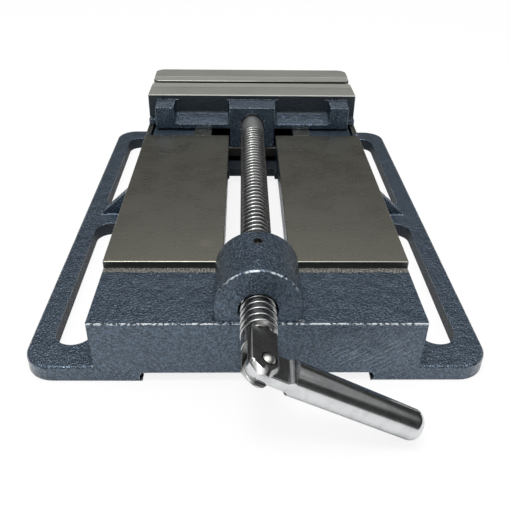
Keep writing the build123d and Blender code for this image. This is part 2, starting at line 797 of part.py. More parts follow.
# Handle: a tapered bar with a round end, milled to a tongue at the pin
swing_plane = Plane(origin=pivot, x_dir=handle_axis, z_dir=pin_axis)
flat_plane = Plane(origin=pivot, x_dir=handle_axis, z_dir=pin_axis.cross(handle_axis))
tongue_half = fork_slot / 2 - tongue_side_clearance
with BuildPart() as handle:
    with BuildSketch(swing_plane):
        with BuildLine():
            Polyline(
                (-handle_root_radius, 0),
                (-handle_root_radius, handle_root_radius),
                (tongue_length, handle_root_radius),
                (handle_length, handle_tip_radius),
                (handle_length, 0),
                close=True,
            )
        make_face()
    revolve(axis=Axis(pivot, handle_axis))
    handle_end = handle.edges().filter_by(GeomType.CIRCLE).sort_by(lambda e: (e.center() - pivot).length)[-1]
    fillet(handle_end, handle_end_radius)

    # Flats of the tongue, run out with the cutter's radius
    for side in SIDES:
        with BuildSketch(flat_plane):
            with BuildLine():
                low = -side * tongue_half
                high = -side * (tongue_half + tongue_shoulder_radius)
                far = -side * (handle_root_radius + 1)
                Polyline(
                    (tongue_length + tongue_shoulder_radius, high),
                    (tongue_length + tongue_shoulder_radius, far),
                    (-handle_root_radius - 1, far),
                    (-handle_root_radius - 1, low),
                    (tongue_length, low),
                )
                ThreePointArc(
                    (tongue_length, low),
                    (
                        tongue_length + tongue_shoulder_radius * sin(radians(45)),
                        high + side * tongue_shoulder_radius * cos(radians(45)),
                    ),
                    (tongue_length + tongue_shoulder_radius, high),
                )
            make_face()
        extrude(amount=handle_root_radius + 1, both=True, mode=Mode.SUBTRACT)

    # Round end of the tongue, about the pin
    with BuildSketch(swing_plane):
        with Locations((0, 0)):
            Rectangle(
                handle_root_radius + 1,
                2 * handle_root_radius + 2,
                align=(Align.MAX, Align.CENTER),
            )
            Circle(handle_root_radius, mode=Mode.SUBTRACT)
    extrude(amount=handle_root_radius, both=True, mode=Mode.SUBTRACT)
    with Locations(swing_plane.offset(tongue_half)):
        Hole(handle_pin_radius + running_clearance, depth=2 * tongue_half)
handle.part.label = "handle"
export_step(handle.part, "parts/handle.step")
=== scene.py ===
"""Looks of a drill press vise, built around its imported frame."""

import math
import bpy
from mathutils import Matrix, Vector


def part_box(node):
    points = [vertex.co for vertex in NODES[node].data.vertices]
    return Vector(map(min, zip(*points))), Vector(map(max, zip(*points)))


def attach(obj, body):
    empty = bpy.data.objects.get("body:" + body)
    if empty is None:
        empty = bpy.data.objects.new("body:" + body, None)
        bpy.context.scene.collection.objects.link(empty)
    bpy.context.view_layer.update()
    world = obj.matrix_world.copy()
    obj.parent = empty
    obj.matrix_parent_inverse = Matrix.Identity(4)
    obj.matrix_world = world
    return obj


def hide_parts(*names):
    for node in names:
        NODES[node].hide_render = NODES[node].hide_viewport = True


bl_info = {
    "name": "Drill press vise",
    "version": (1, 0, 0),
    "blender": (4, 5, 0),
    "location": "View3D > Sidebar > Vise",
    "description": "Finishes a drill press vise: enamelled castings, ground ways, threaded spindle, handle",
    "category": "Object",
}

import bmesh
import bpy
from mathutils import Matrix, Vector

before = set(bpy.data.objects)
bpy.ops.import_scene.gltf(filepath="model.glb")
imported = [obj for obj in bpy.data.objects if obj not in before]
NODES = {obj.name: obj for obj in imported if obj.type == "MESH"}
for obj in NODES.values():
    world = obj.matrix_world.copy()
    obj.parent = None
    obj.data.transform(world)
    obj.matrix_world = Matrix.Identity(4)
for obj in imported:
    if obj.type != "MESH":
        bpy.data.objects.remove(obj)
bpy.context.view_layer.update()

# The spindle's axis and radius and the lock pin's place, read from the frame
SPINDLE_LOW, SPINDLE_HIGH = (Vector(corner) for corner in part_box("spindle"))
SPINDLE_AXIS_Z = (SPINDLE_LOW.z + SPINDLE_HIGH.z) / 2
SPINDLE_RADIUS = (SPINDLE_HIGH.z - SPINDLE_LOW.z) / 2
LOCK_PIN_X = (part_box("nut_lock_pin")[0][0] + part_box("nut_lock_pin")[1][0]) / 2

# The spindle's thread: its two ends, the slope of its flanks, the faces round a worn crest's corner, the
# turns spun beyond each end and cut off, and how far the thread reaches into the fork and the neck into it
THREAD_FRONT = -0.15675
THREAD_REAR = 0.05425
FLANK_DEGREES = 15
CREST_STEPS = 3
SPARE_TURNS = 2
LAP = 0.00005

# The lines of painted shade round the handle's pin and the nut's lock pin, in millimetres: a point on the
# pin's axis, its direction, and the radius and half width of the line
PIN_TILT = math.radians(26)
HANDLE_PIN = ((-173.65, -1.528, 38.655), (0, -math.sin(PIN_TILT), math.cos(PIN_TILT)), 3.05, 0.27)
LOCK_PIN = ((1000 * LOCK_PIN_X, 0, 0), (0, 0, 1), 1.8, 0.5)

# Places on the castings where their surface changes, in millimetres
WAY_FRONT = -97.85
WAY_HEIGHT = 37.0
WAY_INNER = 29.5
TROUGH_TOP = 22.4
BLOCK_TOP = 33.1
BLOCK_FRONT = -141.75
BOSS_FRONT = -139.75
BOSS_CENTRE = 40.6
BOSS_RADIUS = 19.7
JAW_TOP = 57.6
POCKET_BACK = 87.8
POCKET_FLOOR = 40.0
SLOT_MIDDLE = 88.5
SLOT_REACH = 10.0
SLOT_END = 127.0
FLANGE_MIDDLE = 3.9
SCUFF_MIDDLE = (-80.7, 25.5, WAY_HEIGHT)

# The wiped patch on the front face is measured with its width squeezed, and its middle is where that puts it.
# Its streaks fall by the slant across the face, and the smaller the draw, the longer they are
SMEAR_SQUEEZE = 0.6
SMEAR_MIDDLE = (BLOCK_FRONT, -52 * SMEAR_SQUEEZE, 17.0)
SMEAR_SLANT = 0.7
SMEAR_DRAW = 0.22

# A ground top takes in its eased edge, a band of heights: how far its middle lies below the top, and its half
EDGE_DROP = 0.22
EDGE_BAND = 0.34

CASTINGS = ("base_casting", "movable_jaw")
PLATES = ("fixed_jaw_plate", "movable_jaw_plate")
PINS = ("nut_lock_pin", "spindle_pins", "thrust_disc", "keeper_washers", "handle_pin")
SCREWS = ("fixed_jaw_screws", "movable_jaw_screws", "keeper_screws")

# Shaping of the meshes: vertices nearer than a weld become one, edges sharper than SHARP are broken, faces
# that turn less than SMOOTH are shaded as one surface, and edges this near the lock pin's axis are its hole's
WELD = 2e-6
THREAD_WELD = 2e-5
SHARP = math.radians(28)
SMOOTH = math.radians(38)
LOCK_HOLE_REACH = 0.0024

# Studio: greys of the room by how far up a direction points, from level to overhead, the floor, the lamp and
# the camera
ROOM_GREYS = (
    (0.0, 0.1),
    (0.3, 0.04),
    (0.5, 0.05),
    (0.555, 0.5),
    (0.6, 0.22),
    (0.66, 0.28),
    (0.72, 0.9),
    (0.86, 1.85),
    (1.0, 2.0),
)
FLOOR_REACH = 0.8
FLOOR_DROP = 0.0001
FLOOR_WHITE = 0.86
LAMP = {"place": (-0.3, 0.12, 1.1), "target": (-0.1, 0, 0.02), "size": (0.4, 0.3), "watts": 5}
CAMERA_PLACE = (-0.35152, 0.00681, 0.20618)
CAMERA_PITCH, CAMERA_YAW, CAMERA_ROLL = (math.radians(a) for a in (33.08, 1.37, 0.82))
CAMERA_LENS = 43.9
CAMERA_SENSOR = 36


def linear(code):
    """Turns an sRGB hex colour into the linear colour that a shader takes."""
    channels = [int(code[i : i + 2], 16) / 255 for i in (1, 3, 5)]
    return [c / 12.92 if c <= 0.04045 else ((c + 0.055) / 1.055) ** 2.4 for c in channels] + [1.0]


# Colour of the painted shade in the gap round a pin
PIN_GAP_SHADE = linear("#15120f")


class ViseSizes(bpy.types.PropertyGroup):
    """Sizes of the details that the frame leaves to the looks."""

    thread_pitch: bpy.props.FloatProperty(
        name="Thread pitch",
        description="Lead of the spindle's thread",
        default=0.004,
        unit="LENGTH",
        precision=5,
    )
    thread_depth: bpy.props.FloatProperty(
        name="Thread depth",
        description="Height of the thread's flanks",
        default=0.0021,
        unit="LENGTH",
        precision=5,
    )
    crest_round: bpy.props.FloatProperty(
        name="Crest round",
        description="Radius of the worn crests",
        default=0.0005,
        unit="LENGTH",
        precision=5,
    )
    steps_per_turn: bpy.props.IntProperty(
        name="Steps per turn",
        description="Faces round one turn of the thread",
        default=40,
        min=12,
    )
    casting_edge: bpy.props.FloatProperty(
        name="Casting edge",
        description="Width of castings' eased edges",
        default=0.0005,
        unit="LENGTH",
        precision=5,
    )
    steel_edge: bpy.props.FloatProperty(
        name="Steel edge",
        description="Width of steel's broken edges",
        default=0.0004,
        unit="LENGTH",
        precision=5,
    )


class ViseColours(bpy.types.PropertyGroup):
    """Colours of the vise's finishes."""

    enamel: bpy.props.FloatVectorProperty(
        name="Enamel",
        description="Enamel on the castings",
        subtype="COLOR",
        size=4,
        default=linear("#4d5e6f"),
    )
    ground_iron: bpy.props.FloatVectorProperty(
        name="Ground iron",
        description="Ways ground bare",
        subtype="COLOR",
        size=4,
        default=linear("#a3a196"),
    )
    ground_steel: bpy.props.FloatVectorProperty(
        name="Ground steel",
        description="Jaw tops and jaw plates",
        subtype="COLOR",
        size=4,
        default=linear("#bdbdb6"),
    )
    spindle: bpy.props.FloatVectorProperty(
        name="Spindle",
        description="Turned steel of the spindle",
        subtype="COLOR",
        size=4,
        default=linear("#b3b4b3"),
    )
    handle: bpy.props.FloatVectorProperty(
        name="Handle",
        description="Polished steel of the handle",
        subtype="COLOR",
        size=4,
        default=linear("#c9cbcc"),
    )
    floor: bpy.props.FloatVectorProperty(
        name="Floor",
        description="Pale studio floor",
        subtype="COLOR",
        size=4,
        default=linear("#f2f2f2"),
    )


def add(tree, kind, inputs=None, **settings):
    """Adds a node with its settings. An input takes a number, a colour, or a socket or node to link it to."""
    node = tree.nodes.new("ShaderNode" + kind)
    for name, value in settings.items():
        setattr(node, name, value)
    for name, value in (inputs or {}).items():
        if isinstance(value, bpy.types.Node):
            value = next(output for output in value.outputs if output.enabled)
        if isinstance(value, bpy.types.NodeSocket):
            tree.links.new(value, node.inputs[name])
        else:
            node.inputs[name].default_value = value
    return node


def new_material(name):
    """An empty node material with its output."""
    material = bpy.data.materials.new(name)
    material.use_nodes = True
    tree = material.node_tree
    tree.nodes.clear()
    return material, tree, add(tree, "OutputMaterial")


def millimetres(tree, stretch=(1, 1, 1)):
    """The piece's own coordinates in millimetres, drawn out along its axes."""
    coordinates = add(tree, "TexCoord").outputs["Object"]
    return add(tree, "Mapping", {"Vector": coordinates, "Scale": [1000 * s for s in stretch]})


def shade(colour, factor):
    """A colour made lighter or darker."""
    return [c * factor for c in colour[:3]] + [1.0]


def ground_surface(tree, colour):
    """Surface grinding: the wheel's lines run across the vise, 0.3 mm apart on the real one and drawn twice
    as coarse so that they show, under slow patches of oil and handling."""
    place = millimetres(tree)
    across = millimetres(tree, (1.7, 0.05, 1.7))
    lines = add(tree, "TexNoise", {"Vector": across, "Scale": 1.0, "Detail": 3.0, "Roughness": 0.6})
    patches = add(tree, "TexNoise", {"Vector": place, "Scale": 0.05, "Detail": 5.0, "Roughness": 0.6})
    grain = add(tree, "TexNoise", {"Vector": place, "Scale": 0.5, "Detail": 4.0, "Roughness": 0.65})
    tone = add(tree, "Math", {0: patches, 1: 0.55}, operation="MULTIPLY")
    tone = add(tree, "Math", {0: lines, 1: 0.35, 2: tone}, operation="MULTIPLY_ADD")
    tone = add(tree, "Math", {0: grain, 1: 0.1, 2: tone}, operation="MULTIPLY_ADD")
    spread = add(tree, "MapRange", {"Value": tone, "From Min": 0.38, "From Max": 0.62})
    ends = {"A": shade(colour, 0.87), "B": shade(colour, 1.08)}
    return add(tree, "Mix", {"Factor": spread, **ends}, data_type="RGBA"), lines, spread


def ground_areas(tree, xyz):
    """Where the castings are ground bare: 1 on the ways and rails, on the jaw tops, and on the ways' front
    step. The grinding takes the paint off the broken edges too."""
    normal = add(tree, "NewGeometry").outputs["True Normal"]
    facing = add(tree, "SeparateXYZ", {0: normal})
    up = add(tree, "Math", {0: facing.outputs["Z"], 1: 0.2}, operation="GREATER_THAN")
    past_boss = add(tree, "Math", {0: xyz.outputs["X"], 1: WAY_FRONT - 0.3}, operation="GREATER_THAN")
    up = add(tree, "Math", {0: up, 1: past_boss}, operation="MULTIPLY")
    height = xyz.outputs["Z"]
    flats = []
    for top in (WAY_HEIGHT, JAW_TOP):
        level = add(tree, "Math", {0: height, 1: top - EDGE_DROP, 2: EDGE_BAND}, operation="COMPARE")
        flats.append(add(tree, "Math", {0: up, 1: level}, operation="MULTIPLY"))
    front = add(tree, "Math", {0: facing.outputs["X"], 1: -0.98}, operation="LESS_THAN")
    at_step = add(tree, "Math", {0: xyz.outputs["X"], 1: WAY_FRONT, 2: 0.12}, operation="COMPARE")
    step = add(tree, "Math", {0: front, 1: at_step}, operation="MULTIPLY")
    return *flats, step


def torn_strip(tree, xyz):
    """A strip 2 to 5 mm wide at the foot of that step, where the cutter ran out and tore the paint."""
    place = millimetres(tree)
    ragged = add(tree, "TexNoise", {"Vector": place, "Scale": 0.7, "Detail": 5.0, "Roughness": 0.75})
    reach = add(tree, "Math", {0: ragged, 1: 7.0, 2: WAY_FRONT - 7.2}, operation="MULTIPLY_ADD")
    behind = add(tree, "Math", {0: xyz.outputs["X"], 1: reach}, operation="GREATER_THAN")
    ahead = add(tree, "Math", {0: xyz.outputs["X"], 1: WAY_FRONT}, operation="LESS_THAN")
    level = add(tree, "Math", {0: xyz.outputs["Z"], 1: BLOCK_TOP, 2: 0.15}, operation="COMPARE")
    strip = add(tree, "Math", {0: behind, 1: ahead}, operation="MULTIPLY")
    return add(tree, "Math", {0: strip, 1: level}, operation="MULTIPLY")


def gap_round(tree, point, axis, middle, half_width):
    """A ring round an axis, such as the painted shade round a pin: 1 where the distance from the axis is
    within half_width of the middle.
    """
    arm = add(tree, "VectorMath", {0: millimetres(tree), 1: point}, operation="SUBTRACT")
    arm = add(tree, "VectorMath", {0: arm, 1: axis}, operation="CROSS_PRODUCT")
    reach = add(tree, "VectorMath", {0: arm}, operation="LENGTH")
    return add(tree, "Math", {0: reach, 1: middle, 2: half_width}, operation="COMPARE")


def painted_edge_glints(tree, xyz):
    """Painted glints along the edges, broken up in places, most of all along the top of the front block and
    over the boss's rim. The first value is the painted glints, the second the edge."""
    round_edge = add(tree, "Bevel", {"Radius": 0.0009}, samples=6)
    square = add(tree, "NewGeometry").outputs["True Normal"]
    turned = add(tree, "VectorMath", {0: round_edge, 1: square}, operation="DOT_PRODUCT")
    edge = add(tree, "MapRange", {"Value": turned, "From Min": 0.93, "From Max": 0.8})
    brow = add(tree, "Math", {0: xyz.outputs["X"], 1: BLOCK_FRONT + 0.9, 2: 0.5}, operation="COMPARE")
    top = add(tree, "Math", {0: xyz.outputs["Z"], 1: BLOCK_TOP - 0.3, 2: 0.5}, operation="COMPARE")
    brow = add(tree, "Math", {0: brow, 1: top}, operation="MULTIPLY")
    rim = add(tree, "Math", {0: xyz.outputs["X"], 1: BOSS_FRONT + 0.6, 2: 0.4}, operation="COMPARE")
    ring = gap_round(tree, (0, 0, BOSS_CENTRE), (1, 0, 0), BOSS_RADIUS - 0.6, 0.4)
    rim = add(tree, "Math", {0: rim, 1: ring}, operation="MULTIPLY")
    over = {"Value": xyz.outputs["Z"], "From Min": BOSS_CENTRE + 7.0, "From Max": BOSS_CENTRE + 15.0}
    rim = add(tree, "Math", {0: rim, 1: add(tree, "MapRange", over)}, operation="MULTIPLY")
    brow = add(tree, "Math", {0: brow, 1: rim}, operation="MAXIMUM")
    edge = add(tree, "Math", {0: edge, 1: brow}, operation="MAXIMUM")
    # Noise that breaks up the painted edge glints
    glint_breakup = add(tree, "TexNoise", {"Vector": millimetres(tree), "Scale": 0.6, "Detail": 3.0, "Roughness": 0.6})
    least = add(tree, "MapRange", {"Value": brow, "To Min": 0.45, "To Max": 0.44})
    share = add(tree, "Math", {0: glint_breakup, 1: least}, operation="SUBTRACT")
    share = add(tree, "MapRange", {"Value": share, "From Max": 0.1})
    return add(tree, "Math", {0: edge, 1: share}, operation="MULTIPLY"), edge


def painted_recess_shade(tree, xyz):
    """1 where shade is painted into the enamel, nearly black: on the walls of the bench slots and down
    between the ways. The back wall of the jaw's pockets gets 0.85 of it."""
    normal = add(tree, "NewGeometry").outputs["True Normal"]
    level = add(tree, "SeparateXYZ", {0: normal}).outputs["Z"]
    across = add(tree, "Math", {0: xyz.outputs["Y"]}, operation="ABSOLUTE")
    along = add(tree, "Math", {0: xyz.outputs["X"]}, operation="ABSOLUTE")
    slots = (
        add(tree, "Math", {0: across, 1: SLOT_MIDDLE, 2: SLOT_REACH}, operation="COMPARE"),
        add(tree, "Math", {0: xyz.outputs["Z"], 1: FLANGE_MIDDLE, 2: FLANGE_MIDDLE}, operation="COMPARE"),
        add(tree, "Math", {0: level, 1: 0.0, 2: 0.3}, operation="COMPARE"),
        add(tree, "Math", {0: along, 1: SLOT_END}, operation="LESS_THAN"),
    )
    trough = (
        add(tree, "Math", {0: across, 1: WAY_INNER}, operation="LESS_THAN"),
        add(tree, "Math", {0: xyz.outputs["Z"], 1: TROUGH_TOP}, operation="LESS_THAN"),
        add(tree, "Math", {0: xyz.outputs["X"], 1: WAY_FRONT}, operation="GREATER_THAN"),
    )
    pocket = (
        add(tree, "Math", {0: xyz.outputs["X"], 1: POCKET_BACK, 2: 1.0}, operation="COMPARE"),
        add(tree, "Math", {0: xyz.outputs["Z"], 1: POCKET_FLOOR}, operation="GREATER_THAN"),
    )
    dark = 0.0
    for share, (place, *limits) in ((1.0, slots), (1.0, trough), (0.85, pocket)):
        for limit in limits:
            place = add(tree, "Math", {0: place, 1: limit}, operation="MULTIPLY")
        place = add(tree, "Math", {0: place, 1: share}, operation="MULTIPLY")
        dark = add(tree, "Math", {0: dark, 1: place}, operation="MAXIMUM")
    return dark


def smear(tree, xyz):
    """A patch at the right of the front face where the wet enamel was wiped: 0 outside it, and inside it from
    0 to 1 across slanting streaks, which hammertone also paints lighter as glints. The second value is the
    whole patch."""
    squeezed = millimetres(tree, (1.0, SMEAR_SQUEEZE, 1.0))
    reach = add(tree, "VectorMath", {0: squeezed, 1: SMEAR_MIDDLE}, operation="DISTANCE")
    patch = add(tree, "MapRange", {"Value": reach, "From Min": 14.0, "From Max": 7.0})
    across, up = xyz.outputs["Y"], xyz.outputs["Z"]
    slant = add(tree, "Math", {0: across, 1: SMEAR_SLANT, 2: up}, operation="MULTIPLY_ADD")
    along = add(tree, "Math", {0: across, 1: SMEAR_DRAW}, operation="MULTIPLY")
    place = add(tree, "CombineXYZ", {"X": along, "Y": slant})
    streaks = add(tree, "TexNoise", {"Vector": place, "Scale": 0.7, "Detail": 3.0, "Roughness": 0.6})
    streaks = add(tree, "MapRange", {"Value": streaks, "From Min": 0.5, "From Max": 0.68})
    return add(tree, "Math", {0: patch, 1: streaks}, operation="MULTIPLY"), patch


def tool_scuff(tree):
    """A light scuff about 6 mm across on the left way, left by a tool."""
    place = millimetres(tree)
    reach = add(tree, "VectorMath", {0: place, 1: SCUFF_MIDDLE}, operation="DISTANCE")
    near = add(tree, "MapRange", {"Value": reach, "From Min": 5.5, "From Max": 1.0})
    broken = add(tree, "TexNoise", {"Vector": place, "Scale": 1.3, "Detail": 4.0, "Roughness": 0.7})
    broken = add(tree, "MapRange", {"Value": broken, "From Min": 0.5, "From Max": 0.56, "To Max": 0.7})
    return add(tree, "Math", {0: near, 1: broken}, operation="MULTIPLY")


def dimples_and_sand(tree, place):
    """Heights of the enamel's dimples, pulled out of round, and of the sand casting's unevenness below it."""
    pull = {"Scale": 0.9, "Detail": 1.0, "Roughness": 0.4, "Distortion": 1.2}
    worms = add(tree, "TexNoise", {"Vector": place, **pull})
    drift = add(tree, "TexNoise", {"Vector": place, "Scale": 0.9, "Detail": 2.0}).outputs["Color"]
    pulled = add(tree, "Mix", {"Factor": 0.3, "A": place, "B": drift}, data_type="VECTOR")
    cells = add(tree, "TexVoronoi", {"Vector": pulled, "Scale": 1.3, "Smoothness": 0.7}, feature="SMOOTH_F1")
    sand = add(tree, "TexNoise", {"Vector": place, "Scale": 0.09, "Detail": 3.0, "Roughness": 0.5})
    return add(tree, "Math", {0: cells, 1: 0.5, 2: worms}, operation="MULTIPLY_ADD"), sand


def hammertone(colours):
    """Hammertone enamel on grey iron castings: sprayed, glossy, with aluminium flake in it that shines a
    little like metal, and drawn up into dimples about a millimetre across. Ways and jaw tops are ground bare
    later."""
    material, tree, output = new_material("hammertone_enamel_on_iron")
    place = millimetres(tree)
    xyz = add(tree, "SeparateXYZ", {0: place})
    dimples, sand = dimples_and_sand(tree, place)
    specks = add(tree, "TexNoise", {"Vector": place, "Scale": 1.3, "Detail": 4.0, "Roughness": 0.75})
    normal = add(tree, "NewGeometry").outputs["True Normal"]
    level = add(tree, "SeparateXYZ", {0: normal}).outputs["Z"]

    # Where each surface lies. Enamel is thick in the dimples' hollows, and level faces get painted shade
    hollow = add(tree, "MapRange", {"Value": dimples, "From Min": 0.58, "From Max": 0.86})
    shadow = add(tree, "MapRange", {"Value": sand, "From Min": 0.35, "From Max": 0.7, "To Max": 0.35})
    # Painted shade: faces that point up are made darker
    painted_top_shade = add(tree, "MapRange", {"Value": level, "From Min": 0.8, "From Max": 0.98, "To Max": 0.55})
    streaks, patch = smear(tree, xyz)
    # Painted glints: the wiped patch's streaks are made lighter
    painted_streak_glint = add(tree, "Math", {0: streaks, 1: 0.35}, operation="MULTIPLY")
    # Painted shade: nearly black enamel in the bench slots, between the ways and on the jaw's pocket backs
    dark = painted_recess_shade(tree, xyz)
    # Painted glints: pale, less metallic enamel along edges, brightest on the block's top edge and the boss's
    # rim
    edge_glint, edge = painted_edge_glints(tree, xyz)
    ways, tops, step = ground_areas(tree, xyz)
    torn = torn_strip(tree, xyz)
    bare = add(tree, "Math", {0: ways, 1: tops}, operation="MAXIMUM")
    bare = add(tree, "Math", {0: bare, 1: step}, operation="MAXIMUM")

    iron, lines, iron_spread = ground_surface(tree, list(colours.ground_iron))
    iron = add(tree, "Mix", {"Factor": tool_scuff(tree), "A": iron, "B": linear("#cfcabb")}, data_type="RGBA")
    steel, _, steel_spread = ground_surface(tree, list(colours.ground_steel))
    bright = add(tree, "MapRange", {"Value": specks, "From Min": 0.49, "From Max": 0.57})
    chips = {"Factor": bright, "A": linear("#23282c"), "B": linear("#aaa69c")}
    tints = (
        (hollow, shade(colours.enamel, 0.42)),
        (shadow, shade(colours.enamel, 0.8)),
        (painted_top_shade, shade(colours.enamel, 0.5)),
        (painted_streak_glint, linear("#a9b4bf")),
        (dark, shade(colours.enamel, 0.2)),
        (edge_glint, linear("#cbd2d7")),
        (ways, iron),
        (tops, steel),
        (step, linear("#55595a")),
        (torn, add(tree, "Mix", chips, data_type="RGBA")),
        # Painted shade in the gap round the lock pin
        (gap_round(tree, *LOCK_PIN), PIN_GAP_SHADE),
    )
    colour = shade(colours.enamel, 1.22)
    for mask, tint in tints:
        colour = add(tree, "Mix", {"Factor": mask, "A": colour, "B": tint}, data_type="RGBA")

    iron_gloss = add(tree, "MapRange", {"Value": iron_spread, "To Min": 0.32, "To Max": 0.24})
    steel_gloss = add(tree, "MapRange", {"Value": steel_spread, "To Min": 0.52, "To Max": 0.42})
    gloss = 0.17
    for mask, shine in ((ways, iron_gloss), (tops, steel_gloss), (step, 0.4), (torn, 0.5), (dark, 0.6)):
        gloss = add(tree, "Mix", {"Factor": mask, "A": gloss, "B": shine}, data_type="FLOAT")

    metal = add(tree, "MapRange", {"Value": bare, "To Min": 0.6, "To Max": 1.0})
    for mask in (add(tree, "Math", {0: edge_glint, 1: torn}, operation="MAXIMUM"), dark):
        metal = add(tree, "Mix", {"Factor": mask, "A": metal, "B": 0.1}, data_type="FLOAT")
    clear = add(tree, "Math", {0: bare, 1: dark}, operation="MAXIMUM")
    clear = add(tree, "MapRange", {"Value": clear, "To Min": 0.4, "To Max": 0.0})

    height = add(tree, "Math", {0: sand, 1: 2.5, 2: dimples}, operation="MULTIPLY_ADD")
    wiped = add(tree, "Math", {0: streaks, 1: 0.35, 2: 0.35}, operation="MULTIPLY_ADD")
    share = add(tree, "Math", {0: patch, 1: 0.6}, operation="MULTIPLY")
    scratches = add(tree, "Math", {0: lines, 1: 0.03}, operation="MULTIPLY")
    for mask, relief in ((share, wiped), (edge, 0.0), (bare, scratches), (torn, specks)):
        height = add(tree, "Mix", {"Factor": mask, "A": height, "B": relief}, data_type="FLOAT")
    bump = add(tree, "Bump", {"Height": height, "Strength": 1.0, "Distance": 0.00045})
    paint = {
        "Base Color": colour,
        "Metallic": metal,
        "Roughness": gloss,
        "IOR": 1.5,
        "Normal": bump,
        "Coat Weight": clear,
        "Coat Roughness": 0.08,
        "Coat Normal": bump,
    }
    tree.links.new(add(tree, "BsdfPrincipled", paint).outputs[0], output.inputs["Surface"])
    return material


def ground_plate(colours):
    """Tool steel jaw plates, surface ground: a pale satin top with fine lines across. The other faces are
    dark and smooth, painted shade so that the narrow gap between the jaws looks dark."""
    material, tree, output = new_material("ground_tool_steel")
    tint, lines, spread = ground_surface(tree, list(colours.ground_steel))
    normal = add(tree, "NewGeometry").outputs["True Normal"]
    facing = add(tree, "SeparateXYZ", {0: normal})
    top = add(tree, "Math", {0: facing.outputs["Z"], 1: 0.9}, operation="GREATER_THAN")
    # Painted shade: every face but the top is dark, so that the gap between the jaws looks dark
    tint = add(tree, "Mix", {"Factor": top, "A": linear("#4f4f4b"), "B": tint}, data_type="RGBA")
    satin = add(tree, "MapRange", {"Value": spread, "To Min": 0.52, "To Max": 0.42})
    gloss = add(tree, "Mix", {"Factor": top, "A": 0.22, "B": satin}, data_type="FLOAT")
    bump = add(tree, "Bump", {"Height": lines, "Strength": 0.3, "Distance": 0.00003})
    steel = {"Base Color": tint, "Metallic": 0.85, "Roughness": gloss, "Normal": bump}
    tree.links.new(add(tree, "BsdfPrincipled", steel).outputs[0], output.inputs["Surface"])
    return material


def turned_steel(name, colour, gloss, stretch):
    """Bright turned bar: fine rings left by the tool, drawn coarse enough to show, with a thin uneven film of
    oil and a line of painted shade in the gap round each pin. What sits behind the spindle's thread, its
    neck, its pins and the thrust disc, is dulled by the jaw."""
    material, tree, output = new_material(name)
    place = millimetres(tree)
    drawn = millimetres(tree, stretch)
    rings = add(tree, "TexNoise", {"Vector": drawn, "Scale": 1.0, "Detail": 3.0, "Roughness": 0.6})
    film = add(tree, "TexNoise", {"Vector": place, "Scale": 0.16, "Detail": 5.0, "Roughness": 0.6})
    soil = add(tree, "MapRange", {"Value": film, "From Min": 0.45, "From Max": 0.75})
    tint = add(tree, "Mix", {"Factor": soil, "A": colour, "B": shade(colour, 0.74)}, data_type="RGBA")
    # Painted shade in the gap round each pin
    for pin in (HANDLE_PIN, LOCK_PIN):
        tint = add(tree, "Mix", {"Factor": gap_round(tree, *pin), "A": tint, "B": PIN_GAP_SHADE}, data_type="RGBA")
    gloss_ends = {"To Min": gloss, "To Max": gloss + 0.1}
    rough = add(tree, "MapRange", {"Value": rings, "From Min": 0.3, "From Max": 0.7, **gloss_ends})
    along = add(tree, "SeparateXYZ", {0: place}).outputs["X"]
    neck = add(tree, "Math", {0: along, 1: 1000 * THREAD_REAR}, operation="GREATER_THAN")
    rough = add(tree, "Mix", {"Factor": neck, "A": rough, "B": 0.46}, data_type="FLOAT")
    bump = add(tree, "Bump", {"Height": rings, "Strength": 0.35, "Distance": 0.000008})
    steel = {"Base Color": tint, "Metallic": 1.0, "Roughness": rough, "Normal": bump}
    tree.links.new(add(tree, "BsdfPrincipled", steel).outputs[0], output.inputs["Surface"])
    return material


def black_oxide():
    """Black oxide on socket screws: nearly black, with a dull oily sheen."""
    material, tree, output = new_material("black_oxide_steel")
    place = millimetres(tree)
    film = add(tree, "TexNoise", {"Vector": place, "Scale": 0.8, "Detail": 4.0, "Roughness": 0.55})
    blacks = {"A": linear("#1d1e20"), "B": linear("#34363a")}
    tint = add(tree, "Mix", {"Factor": film, **blacks}, data_type="RGBA")
    sheen = {"From Min": 0.3, "From Max": 0.7, "To Min": 0.3, "To Max": 0.5}
    rough = add(tree, "MapRange", {"Value": film, **sheen})
    oxide = {"Base Color": tint, "Metallic": 0.8, "Roughness": rough}
    tree.links.new(add(tree, "BsdfPrincipled", oxide).outputs[0], output.inputs["Surface"])
    return material


def wear_material(piece, material):
    """Gives every slot of a piece the same material."""
    if not piece.data.materials:
        piece.data.materials.append(material)
    for index in range(len(piece.data.materials)):
        piece.data.materials[index] = material


def merged_copy(node):
    """A bmesh of a CAD node with its loose triangles joined."""
    mesh = bmesh.new()
    mesh.from_mesh(NODES[node].data)
    bmesh.ops.remove_doubles(mesh, verts=mesh.verts, dist=WELD)
    return mesh


def ease_edges(mesh, width, spared=lambda edge: False):
    """Makes a closed mesh's flat faces whole, breaks its sharp outer edges with a small rounded bevel, and
    clears away the faces of no area that this leaves."""
    bmesh.ops.dissolve_limit(
        mesh, angle_limit=math.radians(0.5), verts=mesh.verts, edges=mesh.edges, delimit={"NORMAL"}
    )
    sharp = [
        e
        for e in mesh.edges
        if e.is_convex and e.calc_face_angle(0) > SHARP and e.calc_length() > 2.5 * width and not spared(e)
    ]
    bmesh.ops.bevel(
        mesh,
        geom=sharp,
        offset=width,
        offset_type="OFFSET",
        affect="EDGES",
        segments=3,
        profile=0.5,
        material=-1,
        clamp_overlap=False,
    )
    bmesh.ops.triangulate(mesh, faces=[f for f in mesh.faces if len(f.verts) > 4], ngon_method="BEAUTY")
    bmesh.ops.dissolve_degenerate(mesh, edges=mesh.edges, dist=WELD)


